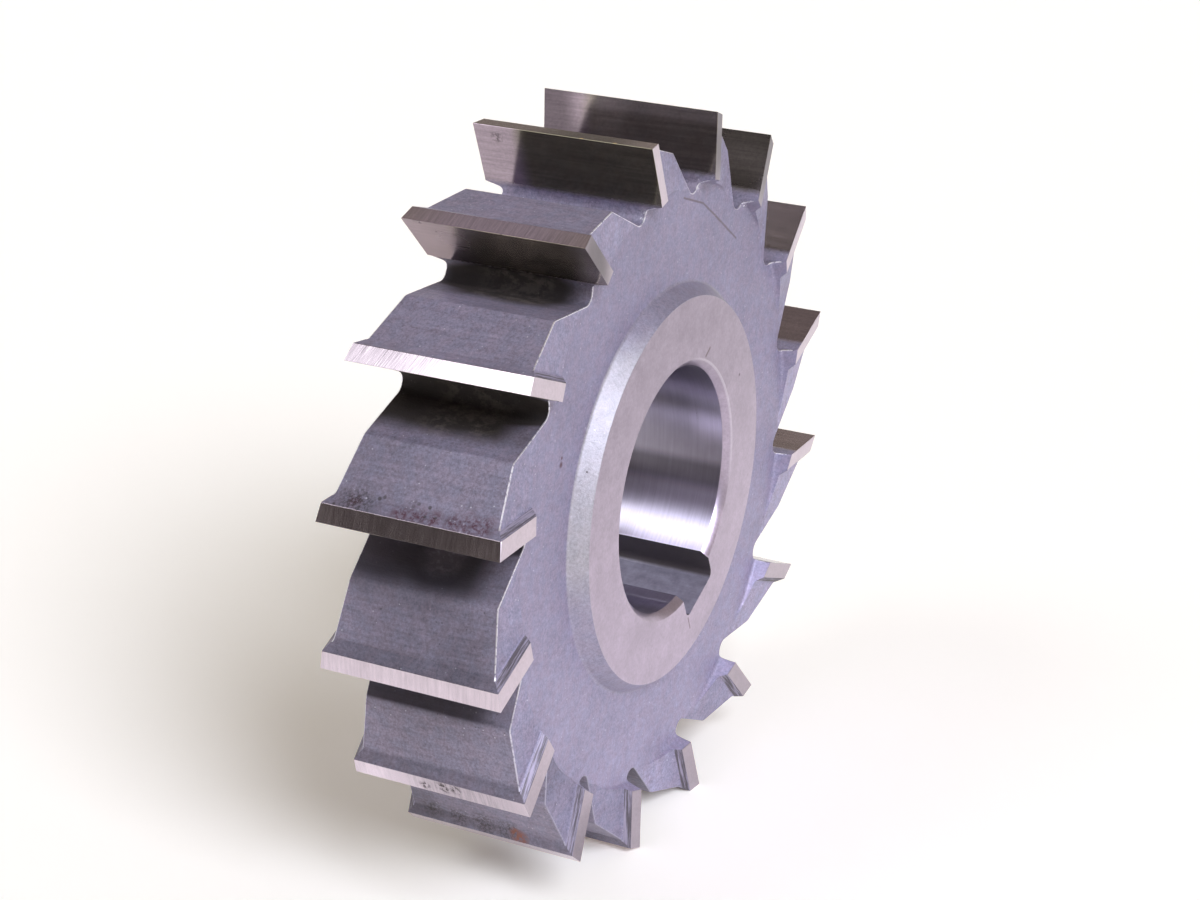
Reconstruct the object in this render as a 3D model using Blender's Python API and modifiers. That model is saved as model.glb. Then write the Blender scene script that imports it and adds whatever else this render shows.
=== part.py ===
"""Side milling cutter, three inches across, cut from one piece of tool steel.

The cutter stands on two of its teeth as it would on a bench. Its bore runs along Y,
the origin is the middle of the bore, and the face towards -Y is the one shown first.
Lengths are in metres and angles in degrees, up to the point where they are used.

The shape is made in the order of a workshop: a blank is turned, the tooth form is
milled through it, the side teeth are backed off on both faces and the keyway is
broached. It is modelled lying flat, axis along Z, and a parent empty stands it up.
A tooth is drawn with its tip on the +X axis, so that x is the radius through the tip
and the tooth's back lies towards -Y, behind the cutting edge.
"""

import math

import bmesh
import bpy
from mathutils import Matrix, Vector

# Whole cutter
CUTTER_DIAMETER = 0.0762
CUTTER_WIDTH = 0.01905
TOOTH_COUNT = 16

# Hub and bore
BORE_DIAMETER = 0.0254
BORE_CHAMFER = 0.00075
HUB_FACE_DIAMETER = 0.0398
HUB_BEVEL_RUN = 0.00115

# Web, turned below the hub and the side teeth
WEB_RECESS = 0.00178
WEB_RIM_DIAMETER = 0.0616
WEB_RIM_RUN = 0.0006
WEB_FILLET = 0.0005

# Keyway
KEYWAY_WIDTH = 0.0065
KEYWAY_DEPTH = 0.00285
KEYWAY_CORNER = 0.0008
KEYWAY_DIRECTION = -66.8

# Tooth form on the rim
RAKE_ANGLE = 10.0
LAND_WIDTH = 0.00184
LAND_RELIEF = 10.5
SHOULDER_DROP = 0.00108
SHOULDER_ANGLE = 50.0
BACK_ANGLE = 30.3
BACK_LENGTH = 0.0060
SECOND_BACK_ANGLE = 61.5
GULLET_RADIUS = 0.00115
SHOULDER_FILLET = 0.0004

# Side teeth, measured square to the cutting face of the tooth
SIDE_LAND_WIDTH = 0.00175
SIDE_LAND_RELIEF = 8.0
SIDE_SHOULDER_DROP = 0.00078
SIDE_SHOULDER_RUN = 0.0006
SIDE_FLANK_END = 0.0070

# Turn of the teeth about the axis: two tips rest on the bench
FIRST_TIP_DIRECTION = -90.0 + 180.0 / TOOTH_COUNT

# Fineness of round surfaces
TURNING_STEPS = 6 * TOOTH_COUNT
FILLET_STEPS = 3
GULLET_STEPS = 7

# Room by which cutters stand past what they cut, and lead of the side cuts before an edge
CUTTER_ROOM = 0.0015
SIDE_CUT_LEAD = 0.0003

# Points closer than this are one point, and edges sharper than this stay sharp
WELD_DISTANCE = 0.000001
SHARP_ANGLE = 28.0

NODE_NAME = "side_milling_cutter"
PITCH = math.tau / TOOTH_COUNT
TIP_RADIUS = CUTTER_DIAMETER / 2
HALF_WIDTH = CUTTER_WIDTH / 2
WEB_HEIGHT = HALF_WIDTH - WEB_RECESS


def clear_scene():
    """Remove whatever the file holds."""
    for old in list(bpy.data.objects):
        bpy.data.objects.remove(old, do_unlink=True)


def new_collection(name):
    """Make a collection in the scene."""
    collection = bpy.data.collections.new(name)
    bpy.context.scene.collection.children.link(collection)
    return collection


def turned(point, angle):
    """Turn a flat point about the origin by an angle in radians."""
    return Matrix.Rotation(angle, 2) @ Vector(point)


def line_meeting(start_a, along_a, start_b, along_b):
    """Give the point where two straight lines in the plane meet."""
    across = along_a.cross(along_b)
    reach = (start_b - start_a).cross(along_b) / across
    return start_a + reach * along_a


def rounded_corner(before, corner, after, radius, steps):
    """Give the points of an arc that rounds one corner of an outline."""
    back = (before - corner).normalized()
    ahead = (after - corner).normalized()
    half_angle = back.angle(ahead) / 2
    setback = radius / math.tan(half_angle)
    centre = corner + (back + ahead).normalized() * radius / math.sin(half_angle)
    first = corner + back * setback - centre
    sweep = first.angle_signed(corner + ahead * setback - centre)
    return [centre + turned(first, -sweep * step / steps) for step in range(steps + 1)]


def tooth_outline():
    """Give one tooth's outline in the plane, from its tip back to the next gullet."""
    tip = Vector((TIP_RADIUS, 0.0))

    def behind(angle):
        """Direction that runs back from the tip and falls by an angle."""
        fall = math.radians(angle)
        return Vector((-math.sin(fall), -math.cos(fall)))

    land_end = tip + behind(LAND_RELIEF) * LAND_WIDTH
    shoulder_length = SHOULDER_DROP / math.sin(math.radians(SHOULDER_ANGLE))
    shoulder_foot = land_end + behind(SHOULDER_ANGLE) * shoulder_length
    back_end = shoulder_foot + behind(BACK_ANGLE) * BACK_LENGTH
    next_tip = turned(tip, -PITCH)
    next_face = turned(Vector((1.0, 0.0)), math.radians(RAKE_ANGLE) - PITCH)
    gullet_corner = line_meeting(back_end, behind(SECOND_BACK_ANGLE), next_tip, next_face)
    outline = [tip, land_end]
    outline += rounded_corner(land_end, shoulder_foot, back_end, SHOULDER_FILLET, FILLET_STEPS)
    outline.append(back_end)
    outline += rounded_corner(back_end, gullet_corner, next_tip, GULLET_RADIUS, GULLET_STEPS)
    return outline


def rim_outline():
    """Give the outline of all the teeth, running once around the rim."""
    points = []
    for tooth in range(TOOTH_COUNT):
        turn = math.radians(FIRST_TIP_DIRECTION) - tooth * PITCH
        points += [turned(point, turn) for point in tooth_outline()]
    return points


def extruded_outline(name, points, thickness):
    """Make a closed mesh by extruding a flat outline to both sides of its plane."""
    curve = bpy.data.curves.new(name + "_outline", "CURVE")
    curve.dimensions = "2D"
    curve.fill_mode = "BOTH"
    curve.extrude = thickness / 2
    spline = curve.splines.new("POLY")
    spline.points.add(len(points) - 1)
    for spline_point, point in zip(spline.points, points):
        spline_point.co = (point[0], point[1], 0.0, 1.0)
    spline.use_cyclic_u = True
    carrier = bpy.data.objects.new(name + "_outline", curve)
    bpy.context.scene.collection.objects.link(carrier)
    evaluated = carrier.evaluated_get(bpy.context.evaluated_depsgraph_get())
    mesh = bpy.data.meshes.new_from_object(evaluated)
    mesh.name = name
    bpy.data.objects.remove(carrier, do_unlink=True)
    solid = bmesh.new()
    solid.from_mesh(mesh)
    bmesh.ops.remove_doubles(solid, verts=solid.verts, dist=WELD_DISTANCE)
    bmesh.ops.recalc_face_normals(solid, faces=solid.faces)
    solid.to_mesh(mesh)
    solid.free()
    return mesh


def add_object(name, mesh, collection, parent):
    """Put a mesh in the scene, carried by the cutter's axis."""
    item = bpy.data.objects.new(name, mesh)
    collection.objects.link(item)
    item.parent = parent
    return item


def add_cutter(name, mesh, collection, parent):
    """Put a cutting body in the scene, drawn as a wire and never rendered."""
    cutter = add_object(name, mesh, collection, parent)
    cutter.display_type = "WIRE"
    cutter.hide_render = True
    return cutter


def face_profile():
    """Give the turned profile of one face as radius and height, from the bore outwards."""
    bore = BORE_DIAMETER / 2
    hub = HUB_FACE_DIAMETER / 2
    rim = WEB_RIM_DIAMETER / 2
    hub_edge = Vector((hub, HALF_WIDTH))
    bevel_foot = Vector((hub + HUB_BEVEL_RUN, WEB_HEIGHT))
    rim_foot = Vector((rim, WEB_HEIGHT))
    rim_edge = Vector((rim + WEB_RIM_RUN, HALF_WIDTH))
    profile = [Vector((bore, HALF_WIDTH - BORE_CHAMFER)), Vector((bore + BORE_CHAMFER, HALF_WIDTH)), hub_edge]
    profile += rounded_corner(hub_edge, bevel_foot, rim_foot, WEB_FILLET, FILLET_STEPS)
    profile += rounded_corner(bevel_foot, rim_foot, rim_edge, WEB_FILLET, FILLET_STEPS)
    profile += [rim_edge, Vector((TIP_RADIUS + CUTTER_ROOM, HALF_WIDTH))]
    return profile


def add_blank(collection, parent):
    """Turn the blank: hub, web and a plain rim a little larger than the teeth."""
    upper = face_profile()
    lower = [Vector((point.x, -point.y)) for point in reversed(upper)]
    profile = bmesh.new()
    corners = [profile.verts.new((point.x, 0.0, point.y)) for point in upper + lower]
    for corner, following in zip(corners, corners[1:] + corners[:1]):
        profile.edges.new((corner, following))
    mesh = bpy.data.meshes.new(NODE_NAME)
    profile.to_mesh(mesh)
    profile.free()
    blank = add_object(NODE_NAME, mesh, collection, parent)
    lathe = blank.modifiers.new("turning", "SCREW")
    lathe.steps = TURNING_STEPS
    lathe.render_steps = TURNING_STEPS
    lathe.use_merge_vertices = True
    lathe.merge_threshold = WELD_DISTANCE
    return blank


def side_flank_outline(side):
    """Give what is ground away behind a side edge, as distance behind the cutting face and height."""
    relief = math.tan(math.radians(SIDE_LAND_RELIEF))
    over = HALF_WIDTH + CUTTER_ROOM
    shoulder = Vector((SIDE_LAND_WIDTH, HALF_WIDTH - SIDE_LAND_WIDTH * relief))
    foot = shoulder + Vector((SIDE_SHOULDER_RUN, -SIDE_SHOULDER_DROP))
    flank_end = Vector((SIDE_FLANK_END, WEB_HEIGHT))
    last = gullet_distance()
    lead = Vector((-SIDE_CUT_LEAD, HALF_WIDTH + SIDE_CUT_LEAD * relief))
    outline = [Vector((lead.x, over)), lead, shoulder]
    outline += rounded_corner(shoulder, foot, flank_end, SHOULDER_FILLET, FILLET_STEPS)
    outline += [flank_end, Vector((last, WEB_HEIGHT)), Vector((last, over))]
    return [Vector((point.x, point.y * side)) for point in outline]


def gullet_distance():
    """Give how far the gullet's lowest point lies behind the tooth's own cutting face."""
    face = turned(Vector((1.0, 0.0)), math.radians(RAKE_ANGLE))
    square = Vector((face.y, -face.x))
    lowest = min(tooth_outline(), key=lambda point: point.length)
    return (lowest - Vector((TIP_RADIUS, 0.0))).dot(square)


def flank_cutter_mesh():
    """Make the bodies that back off every side tooth on both faces."""
    rake = math.radians(RAKE_ANGLE)
    face_foot = TIP_RADIUS * math.sin(rake) + gullet_distance()
    reach = TIP_RADIUS * math.cos(rake) - math.sqrt((WEB_RIM_DIAMETER / 2) ** 2 - face_foot ** 2)
    length = reach + CUTTER_ROOM
    across = Vector((math.sin(rake), -math.cos(rake), 0.0))
    upwards = Vector((0.0, 0.0, 1.0))
    inwards = across.cross(upwards)
    placing = Matrix((across, upwards, inwards)).transposed().to_4x4()
    placing.translation = Vector((TIP_RADIUS, 0.0, 0.0)) + inwards * (length / 2 - CUTTER_ROOM)
    bodies = bmesh.new()
    for side in (1, -1):
        body = extruded_outline("side_flank", side_flank_outline(side), length)
        for tooth in range(TOOTH_COUNT):
            turn = Matrix.Rotation(math.radians(FIRST_TIP_DIRECTION) - tooth * PITCH, 4, "Z")
            copy = body.copy()
            copy.transform(turn @ placing)
            bodies.from_mesh(copy)
            bpy.data.meshes.remove(copy)
        bpy.data.meshes.remove(body)
    mesh = bpy.data.meshes.new("side_flanks")
    bodies.to_mesh(mesh)
    bodies.free()
    return mesh


def keyway_mesh():
    """Make the body that broaches the keyway, open towards the bore."""
    half = KEYWAY_WIDTH / 2
    floor = BORE_DIAMETER / 2 + KEYWAY_DEPTH
    start = BORE_DIAMETER / 4
    near = [Vector((start, -half)), Vector((start, half))]
    far = [Vector((floor, half)), Vector((floor, -half))]
    outline = list(near)
    outline += rounded_corner(near[1], far[0], far[1], KEYWAY_CORNER, FILLET_STEPS)
    outline += rounded_corner(far[0], far[1], near[0], KEYWAY_CORNER, FILLET_STEPS)
    direction = math.radians(KEYWAY_DIRECTION)
    placed = [turned(point, direction) for point in outline]
    return extruded_outline("keyway", placed, CUTTER_WIDTH + CUTTER_ROOM)


def cut(target, cutter, operation):
    """Cut one solid with another."""
    modifier = target.modifiers.new(cutter.name, "BOOLEAN")
    modifier.operation = operation
    modifier.solver = "EXACT"
    modifier.object = cutter
    modifier.use_self = True


def keep_result(target):
    """Keep the cut shape as the object's own mesh, smooth on its round surfaces."""
    evaluated = target.evaluated_get(bpy.context.evaluated_depsgraph_get())
    mesh = bpy.data.meshes.new_from_object(evaluated)
    target.modifiers.clear()
    target.data = mesh
    mesh.name = target.name
    mesh.shade_smooth()
    mesh.set_sharp_from_angle(angle=math.radians(SHARP_ANGLE))


def steel():
    """Make the tool steel of the cutter."""
    material = bpy.data.materials.new("tool_steel")
    material.use_nodes = True
    shader = material.node_tree.nodes["Principled BSDF"]
    shader.inputs["Base Color"].default_value = (0.36, 0.33, 0.37, 1.0)
    shader.inputs["Metallic"].default_value = 0.9
    shader.inputs["Roughness"].default_value = 0.45
    return material


def build_cutter():
    """Build the cutter and stand it on its teeth."""
    clear_scene()
    parts = new_collection(NODE_NAME)
    cutters = new_collection("cutters")
    axis = bpy.data.objects.new("arbor_axis", None)
    axis.rotation_euler = (math.radians(90.0), 0.0, 0.0)
    parts.objects.link(axis)

    cutter = add_blank(parts, axis)
    tooth_form = extruded_outline("tooth_form", rim_outline(), CUTTER_WIDTH + CUTTER_ROOM)
    cut(cutter, add_cutter("tooth_form", tooth_form, cutters, axis), "INTERSECT")
    cut(cutter, add_cutter("side_flanks", flank_cutter_mesh(), cutters, axis), "DIFFERENCE")
    cut(cutter, add_cutter("keyway", keyway_mesh(), cutters, axis), "DIFFERENCE")
    keep_result(cutter)
    cutter.data.materials.clear()
    cutter.data.materials.append(steel())


build_cutter()
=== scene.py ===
"""Dresses a side milling cutter that stands on two of its teeth on a pale bench.

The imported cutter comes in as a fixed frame. This file remakes its one solid with finer
round surfaces and broken edges, gives each ground, blasted or broached surface its own
finish, and sets up the bench, the lamps and the camera. Lengths are in metres, and in the
finishes and the marks of use in millimetres.
"""

import math

import bmesh
import bpy
from bpy.props import FloatProperty, FloatVectorProperty, IntProperty, PointerProperty
from mathutils import Matrix, Vector


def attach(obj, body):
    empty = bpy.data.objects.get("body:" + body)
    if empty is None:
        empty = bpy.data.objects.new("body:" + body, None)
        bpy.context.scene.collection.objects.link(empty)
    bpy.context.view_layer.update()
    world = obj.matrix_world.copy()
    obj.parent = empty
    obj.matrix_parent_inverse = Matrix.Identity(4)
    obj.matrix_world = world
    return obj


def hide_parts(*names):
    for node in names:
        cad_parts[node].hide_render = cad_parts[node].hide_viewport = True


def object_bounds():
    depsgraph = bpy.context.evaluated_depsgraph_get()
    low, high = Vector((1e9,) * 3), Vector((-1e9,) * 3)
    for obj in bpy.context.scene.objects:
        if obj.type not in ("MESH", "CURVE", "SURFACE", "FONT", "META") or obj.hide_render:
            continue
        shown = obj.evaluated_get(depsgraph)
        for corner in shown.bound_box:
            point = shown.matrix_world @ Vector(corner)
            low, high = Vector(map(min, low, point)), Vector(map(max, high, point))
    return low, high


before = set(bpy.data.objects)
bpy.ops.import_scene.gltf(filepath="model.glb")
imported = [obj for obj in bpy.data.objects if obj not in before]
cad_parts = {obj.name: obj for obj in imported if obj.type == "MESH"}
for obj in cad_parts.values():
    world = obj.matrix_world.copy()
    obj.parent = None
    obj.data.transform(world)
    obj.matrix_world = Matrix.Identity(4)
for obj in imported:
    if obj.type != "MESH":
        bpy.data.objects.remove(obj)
cad_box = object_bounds()

bl_info = {
    "name": "Side milling cutter",
    "version": (1, 0, 0),
    "blender": (4, 5, 0),
    "location": "3D View > Sidebar > Cutter",
    "description": "Builds a side milling cutter with ground and blasted finishes on a bench",
    "category": "Add Mesh",
}

NODE_NAME = "side_milling_cutter"
PIECE_NAME = "cutter_finished"

# Surfaces of the cutter in the order of its material slots
WEB, HUB_FACE, BORE, LAND, RAKE, BACK, SIDE_LAND, SIDE_SHOULDER, FLANK, KEYWAY, WORN_EDGE = range(11)

# Room by which cutting bodies stand past what they cut, and lead of the side cuts
CUTTER_ROOM = 0.0015
SIDE_CUT_LEAD = 0.0003

# Points closer than this after the cuts are one point, and edges sharper than this stay sharp
WELD_DISTANCE = 0.00002
SHARP_ANGLE = math.radians(30.0)

# Direction of the keyway around the bore in degrees, which its finish needs too
KEYWAY_DIRECTION = -66.8

# Long texture space along the cutter's axis, which draws stretched reflections out that way
TEXTURE_SPACE = (0.04, 2.0, 0.04)

# Flats around the bench, and steps of its swept-up rim
BENCH_FLATS = 96
BENCH_RIM_STEPS = 12

# Lamps, each with the direction it shines from, its spread in degrees and its colour
LAMPS = (
    ("top_lamp", (0.10, -0.45, 0.88), 60.0, (1.0, 0.99, 1.0)),
    ("front_lamp", (-0.40, -0.63, 0.665), 30.0, (0.86, 0.89, 1.0)),
    ("back_lamp", (-0.48, 0.42, 0.77), 22.0, (0.98, 0.99, 1.0)),
)

# Colour of the room's light, and the share by which it is stronger from +X
ROOM_COLOUR = (1.0, 0.865, 0.71)
ROOM_SLOPE = 0.75

# Faint glow that keeps the bench white behind the cutter
BENCH_GLOW = (1.0, 0.89, 0.78)
BENCH_GLOW_STRENGTH = 0.12

MILLIMETRES = 1000.0

# Blasting leaves a surface that is part bare metal, part matt skin
BLASTED_METALLIC = 0.4
BLASTED_BUMP = 0.045
RAKE_METALLIC = 0.94

# Colours of small marks, of painted glints, and of the painted shade and painted highlight on the hub's bevel
PAINTED_SPARKLE = (0.90, 0.88, 0.98)
BRIGHT_SPECK = (0.95, 0.93, 1.0)
GLINT_WHITE = (0.95, 0.95, 1.0)
BROWN_SPECK = (0.50, 0.30, 0.08)
BEVEL_PAINTED_SHADE = (0.46, 0.44, 0.52)
BEVEL_PAINTED_HIGHLIGHT = (0.60, 0.59, 0.58)

# Radius of the hub bevel's foot and of the bore chamfer's outer edge
BEVEL_FOOT = 21.0
CHAMFER_EDGE = 13.45

# Scratches on the one real cutter, each through several points
WEB_SCRATCH = ((3.83, -7.75, 29.35), (8.43, -7.75, 27.59), (11.47, -7.75, 25.5), (17.02, -7.75, 21.5))
HUB_TICK = ((6.13, -9.53, 12.44), (7.08, -9.53, 12.99))
KEYWAY_CORNER_SCRATCH = ((3.31, -9.53, -15.63), (3.88, -9.53, -17.03))

# Marks of use on it, and places of painted glints, painted shade and painted reflection, each as X, Y, Z and
# reach
RUST_SPOTS_ON_WEB = ((-22.27, -7.75, 10.78, 0.45), (-22.1, -7.75, 11.4, 0.25))
DARK_SPOTS_ON_WEB = ((-18.52, -8.56, 8.83, 0.16),)
BRIGHT_SPECKS_ON_WEB = ((-10.89, -7.75, 31.21, 0.2), (-11.15, -8.01, 28.99, 0.2))
DARK_SPOTS_ON_HUB = ((14.9, -9.53, 7.5, 0.25),)
# Places of painted glints along the upper gullet edges
GLINTS_ON_GULLET_EDGES = (
    (7.6, -7.75, 29.46, 0.8), (18.54, -7.99, 24.66, 0.7), (-4.99, -7.73, 29.86, 0.9),
    (-5.9, -7.9, 30.3, 0.6), (17.9, -8.0, 25.3, 0.5),
)
RUST_ON_BACKS = (
    (-36.1, 1.2, 9.3, 1.5), (-36.1, -0.4, 9.3, 1.8), (-36.0, -2.0, 9.3, 1.6), (-35.9, -4.2, 9.3, 1.7),
    (-35.8, -5.7, 9.4, 2.0), (-35.7, -7.0, 9.5, 1.8), (-35.86, 6.16, 9.6, 1.1),
)
FRESH_RUST = ((-22.54, -3.53, -29.86, 1.3), (-22.61, -3.0, -29.29, 0.8))
PITS_ON_BACKS = ((-36.0, 4.0, 9.3, 3.0), (-36.0, -1.0, 9.4, 3.0), (-35.9, 7.5, 9.3, 2.0))
SOOT_ON_BACKS = (
    (-22.8, 6.2, -29.0, 1.8), (-22.7, 3.2, -29.2, 1.8), (-22.7, 0.4, -29.2, 2.2), (-22.7, -2.2, -29.3, 2.0),
    (-36.0, 6.0, 9.2, 3.0),
)
# Places where the painted gullet shade is lighter and darker
LIGHTER_GULLET_SHADE = (-31.7, -0.6, 3.9, 3.0)
DARKER_GULLET_SHADE = (-33.0, -0.6, 2.4, 3.4)
DULL_LANDS = ((-32.2, -2.0, -20.2, 10.0), (-10.0, 6.0, 37.0, 12.0), (-10.0, -6.0, 37.0, 12.0))
# Places of painted reflection on the lands, one bluer and one darker
PAINTED_BLUE_REFLECTION_ON_LAND = (-20.7, 0.0, 32.0, 13.0)
PAINTED_DARK_REFLECTION_ON_LAND = (-7.4, -2.6, 37.3, 8.0)
SPECKS_ON_EDGE = ((-7.42, -2.1, 37.33, 0.4), (-7.42, -5.6, 37.35, 0.4))
PITS_ON_LAND = ((-31.98, 1.66, -20.46, 0.8), (-32.11, -0.4, -20.16, 1.1), (-32.17, -1.72, -20.02, 0.9))
PITS_ON_RAKES = ((-6.97, 7.12, 36.18, 0.9), (-21.0, 7.84, 31.6, 0.6))
DULL_SIDE_LANDS = ((8.0, -9.5, 34.5, 8.0), (21.0, -9.5, 29.0, 8.0), (-19.0, -9.5, 29.5, 6.5))

# Places of painted sheen and painted shade, where a surface is lighter, or darker below zero: X, Y, Z, reach
# and share
PAINTED_SHEEN_AND_SHADE_ON_FLANKS = ((-3.0, -8.5, -33.0, 7.5, 0.25), (-25.5, -8.5, -19.5, 6.0, -0.26))
PAINTED_SHADE_ON_BACKS = (
    (-35.3, 1.0, -1.5, 12.0, -0.24), (-33.0, 1.0, -14.0, 9.0, -0.1), (-34.0, 6.0, 12.0, 10.0, -0.14),
    (-36.2, -5.7, -3.5, 5.0, -0.16), (-23.0, 8.5, -28.5, 6.0, -0.3),
)
PAINTED_SHEEN_AND_SHADE_ON_LANDS = (
    (-32.0, 5.5, -20.2, 7.0, 0.2), (-37.4, 0.0, 7.6, 12.0, -0.3), (-32.4, -1.3, -19.6, 3.0, -0.12),
    (-7.4, 3.0, 37.3, 14.0, -0.32),
)
PAINTED_SHEEN_AND_SHADE_ON_RAKES = (
    (-18.6, 9.5, 29.5, 8.0, 0.4), (7.4, 9.5, 34.8, 8.0, -0.55), (-21.0, -2.0, 31.5, 9.0, 0.35),
    (-17.8, -3.6, 28.2, 4.0, -0.33), (-18.7, -8.0, 29.2, 3.0, 0.35), (-20.3, -2.2, 30.9, 4.5, 0.5),
    (7.4, -2.5, 35.5, 9.0, 0.16), (7.3, 3.2, 36.3, 4.5, 0.6), (36.5, -8.5, -7.0, 6.0, 0.15),
    (20.2, -7.0, 29.4, 7.0, -0.2),
)
PAINTED_SHADE_ON_SIDE_LANDS = ((-20.0, -9.5, -29.9, 5.0, -0.2), (-30.3, -9.5, -20.3, 5.0, -0.1))

# Places where a cutting face is rougher: X, Y, Z, reach and share
ROUGH_ON_RAKES = ((20.2, -7.0, 29.4, 7.0, 0.16), (-19.2, 5.0, 29.7, 4.5, 0.13))


# Settings

def measure(name, description, default, least=0.0):
    """Setting for a length."""
    return FloatProperty(name=name, description=description, default=default, min=least, unit="LENGTH")


def slope(name, description, degrees):
    """Setting for an angle."""
    return FloatProperty(
        name=name, description=description, default=math.radians(degrees), unit="ROTATION")


def count(name, description, default, least, most=1000):
    """Setting for a whole number."""
    return IntProperty(name=name, description=description, default=default, min=least, max=most)


def amount(name, description, default, least=0.0):
    """Setting for a plain amount."""
    return FloatProperty(name=name, description=description, default=default, min=least)


def tint(name, description, default):
    """Setting for a colour."""
    return FloatVectorProperty(
        name=name, description=description, default=default, subtype="COLOR", min=0.0, max=1.0)


def spot(name, description, default):
    """Setting for a point in space."""
    return FloatVectorProperty(name=name, description=description, default=default, unit="LENGTH")


class CutterSizes(bpy.types.PropertyGroup):
    """Sizes of the cutter"""

    tip_diameter: measure("Tip circle", "Diameter over the tips of the teeth", 0.0762, 0.02)
    width: measure("Width", "Width over the side edges", 0.01905, 0.004)
    tooth_count: count("Teeth", "Number of teeth around the rim", 16, 8, 24)
    bore_diameter: measure("Bore", "Diameter of the bore", 0.0254, 0.005)
    bore_chamfer: measure("Bore chamfer", "Chamfer at each end of the bore", 0.00075)
    hub_diameter: measure("Hub face", "Diameter of the flat hub face", 0.0398, 0.01)
    hub_bevel: measure("Hub bevel", "How far the hub's sloped side spreads outwards", 0.00115)
    web_recess: measure("Web recess", "Depth of the web below the hub face", 0.00178)
    web_rim_diameter: measure("Web rim", "Outer diameter of the recessed web", 0.0616, 0.02)
    web_rim_run: measure("Web rim slope", "How far the wall around the web spreads outwards", 0.0006)
    web_fillet: measure("Web fillet", "Radius in the two corners of the web", 0.0005)
    keyway_width: measure("Keyway width", "Width of the keyway", 0.0065, 0.001)
    keyway_depth: measure("Keyway depth", "Depth of the keyway below the bore", 0.00285)
    keyway_corner: measure("Keyway corner", "Radius in the keyway's two corners", 0.0008)
    keyway_direction: slope("Keyway direction", "Direction of the keyway around the bore", KEYWAY_DIRECTION)
    rake: slope("Rake", "Lean of the cutting face", 10.0)
    land_width: measure("Land", "Width of the ground land behind the cutting edge", 0.00184, 0.0002)
    land_relief: slope("Land relief", "Fall of the land behind the edge", 10.5)
    shoulder_drop: measure("Shoulder", "Drop of the shoulder behind the land", 0.00108)
    shoulder_angle: slope("Shoulder slope", "Slope of the shoulder behind the land", 50.0)
    back_angle: slope("Back slope", "Slope of the tooth's back", 30.3)
    back_length: measure("Back length", "Length of the tooth's upper back", 0.0060, 0.001)
    second_back_angle: slope("Lower back slope", "Slope of the back towards the gullet", 61.5)
    back_break_radius: measure("Back break", "Radius where the two slopes of the back meet", 0.0008)
    gullet_radius: measure("Gullet", "Radius at the bottom of the gullet", 0.00115, 0.0002)
    shoulder_fillet: measure("Shoulder fillet", "Radius at the foot of the shoulders", 0.0004)
    side_land_width: measure(
        "Side land", "Width of the ground land on the side of a tooth", 0.00175, 0.0002)
    side_land_relief: slope("Side relief", "Fall of the side land behind its edge", 8.0)
    side_shoulder_drop: measure("Side shoulder", "Drop of the shoulder behind the side land", 0.00078)
    side_shoulder_run: measure("Side shoulder run", "Run of the shoulder behind the side land", 0.0006)
    side_flank_end: measure("Side flank", "Where the side flank runs out into the web", 0.0070, 0.001)
    edge_break: measure("Edge break", "Size of the smallest chamfer on the sharp edges", 0.00003)
    worn_edge_break: measure(
        "Worn edges", "Size of the bright chamfer along the backs of the teeth", 0.0001)
    turning_steps: count("Turning steps", "Flats around the turned surfaces", 384, 48)
    arc_steps: count("Arc steps", "Flats in each small rounded corner", 8, 2)


class CutterColours(bpy.types.PropertyGroup):
    """Colours of the cutter's surfaces"""

    web: tint("Web", "Blasted steel of the web", (0.31, 0.28, 0.40))
    flank: tint("Flank", "Blasted steel of the side flanks", (0.305, 0.28, 0.40))
    back: tint("Back", "Blasted steel of the tooth backs", (0.29, 0.26, 0.35))
    hub_face: tint("Hub face", "Ground steel of the hub face", (0.49, 0.42, 0.53))
    land: tint("Land", "Ground steel of the lands", (0.64, 0.56, 0.64))
    rake: tint("Cutting face", "Ground steel of the cutting faces", (0.365, 0.30, 0.35))
    # The film colour is a painted dark reflection, brown-tinted, over the cutting faces
    rake_painted_dark_reflection: tint("Film", "Brown film over the middle of the cutting faces", (0.183, 0.170, 0.122))
    bore: tint("Bore", "Honed steel of the bore", (0.49, 0.46, 0.56))
    keyway: tint("Keyway", "Broached steel of the keyway", (0.36, 0.34, 0.43))
    # This colour also paints the highlight ring by the bore
    worn_edge: tint("Worn edge", "Bright steel along rubbed edges", (0.92, 0.89, 0.98))
    rust: tint("Rust", "Rust in the pores of the backs", (0.085, 0.020, 0.030))
    fresh_rust: tint("Fresh rust", "Orange rust beside one land", (0.26, 0.085, 0.045))
    # The soil colour also paints shade on the keyway's walls
    soil_and_shade: tint("Soil", "Dark soil in pits and pores", (0.05, 0.04, 0.04))
    # The gullet colour is painted shade, laid where the teeth shade the gullets
    gullet: tint("Gullet", "Dark skin left in the gullets", (0.050, 0.043, 0.037))
    scratch: tint("Scratch", "Brown line scratched into the web", (0.13, 0.09, 0.09))


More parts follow.
